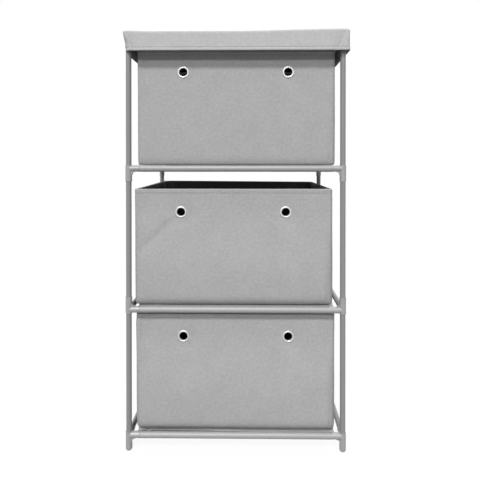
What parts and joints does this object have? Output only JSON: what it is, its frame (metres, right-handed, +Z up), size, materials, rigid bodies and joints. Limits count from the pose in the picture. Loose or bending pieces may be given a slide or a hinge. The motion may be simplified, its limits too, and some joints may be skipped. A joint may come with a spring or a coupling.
{
  "type": "fabric drawer dresser",
  "caption": "Narrow storage unit: open fabric drawers with finger eyelets slide on fabric shelves in a light metal tube frame with plastic corner connectors and a soft fabric top.",
  "frame": {"origin": "middle of the footprint, on the floor", "axes": "+Z up; the drawers' faces look towards -Y and slide out that way; +X to the right"},
  "size_m": [0.454, 0.34, 0.8467],
  "materials": {
    "painted_tube": "satin grey powder coat",
    "connector_plastic": "matte moulded",
    "shelf_fabric": "non-woven",
    "cover_fabric": "woven, hemmed",
    "drawer_fabric": "woven, hemmed",
    "lining_fabric": "black non-woven",
    "greyboard": "raw board",
    "eyelet_nickel": "bright nickel"
  },
  "bodies": {
    "frame": {"bottom_front_rail": "painted_tube", "bottom_left_rail": "painted_tube", "bottom_rear_rail": "painted_tube", "bottom_right_rail": "painted_tube", "bottom_shelf": "shelf_fabric", "foot_connectors": "connector_plastic", "lower_connectors": "connector_plastic", "lower_front_left_post": "painted_tube", "lower_front_rail": "painted_tube", "lower_front_right_post": "painted_tube", "lower_left_rail": "painted_tube", "lower_rear_left_post": "painted_tube", "lower_rear_rail": "painted_tube", "lower_rear_right_post": "painted_tube", "lower_right_rail": "painted_tube", "lower_shelf": "shelf_fabric", "middle_front_left_post": "painted_tube", "middle_front_right_post": "painted_tube", "middle_rear_left_post": "painted_tube", "middle_rear_right_post": "painted_tube", "top_board": "greyboard", "top_connectors": "connector_plastic", "top_cover": "cover_fabric", "top_cover_front_flap": "cover_fabric", "top_front_rail": "painted_tube", "top_left_rail": "painted_tube", "top_rear_rail": "painted_tube", "top_right_rail": "painted_tube", "upper_connectors": "connector_plastic", "upper_front_left_post": "painted_tube", "upper_front_rail": "painted_tube", "upper_front_right_post": "painted_tube", "upper_left_rail": "painted_tube", "upper_rear_left_post": "painted_tube", "upper_rear_rail": "painted_tube", "upper_rear_right_post": "painted_tube", "upper_right_rail": "painted_tube", "upper_shelf": "shelf_fabric"},
    "bottom_drawer": {"bottom_drawer_back_board": "greyboard", "bottom_drawer_base_board": "greyboard", "bottom_drawer_eyelets": "eyelet_nickel", "bottom_drawer_front_board": "greyboard", "bottom_drawer_lining": "lining_fabric", "bottom_drawer_shell": "drawer_fabric", "bottom_drawer_side_boards": "greyboard"},
    "middle_drawer": {"middle_drawer_back_board": "greyboard", "middle_drawer_base_board": "greyboard", "middle_drawer_eyelets": "eyelet_nickel", "middle_drawer_front_board": "greyboard", "middle_drawer_lining": "lining_fabric", "middle_drawer_shell": "drawer_fabric", "middle_drawer_side_boards": "greyboard"},
    "top_drawer": {"top_drawer_back_board": "greyboard", "top_drawer_base_board": "greyboard", "top_drawer_eyelets": "eyelet_nickel", "top_drawer_front_board": "greyboard", "top_drawer_lining": "lining_fabric", "top_drawer_shell": "drawer_fabric", "top_drawer_side_boards": "greyboard"}
  },
  "joints": [
    {"name": "bottom_drawer_slide", "type": "slide", "parent": "frame", "child": "bottom_drawer", "axis": [0, -1, 0], "range_m": [0, 0.26]},
    {"name": "middle_drawer_slide", "type": "slide", "parent": "frame", "child": "middle_drawer", "axis": [0, -1, 0], "range_m": [0, 0.26]},
    {"name": "top_drawer_slide", "type": "slide", "parent": "frame", "child": "top_drawer", "axis": [0, -1, 0], "range_m": [0, 0.26], "deforming": ["top_cover_front_flap"]}
  ]
}
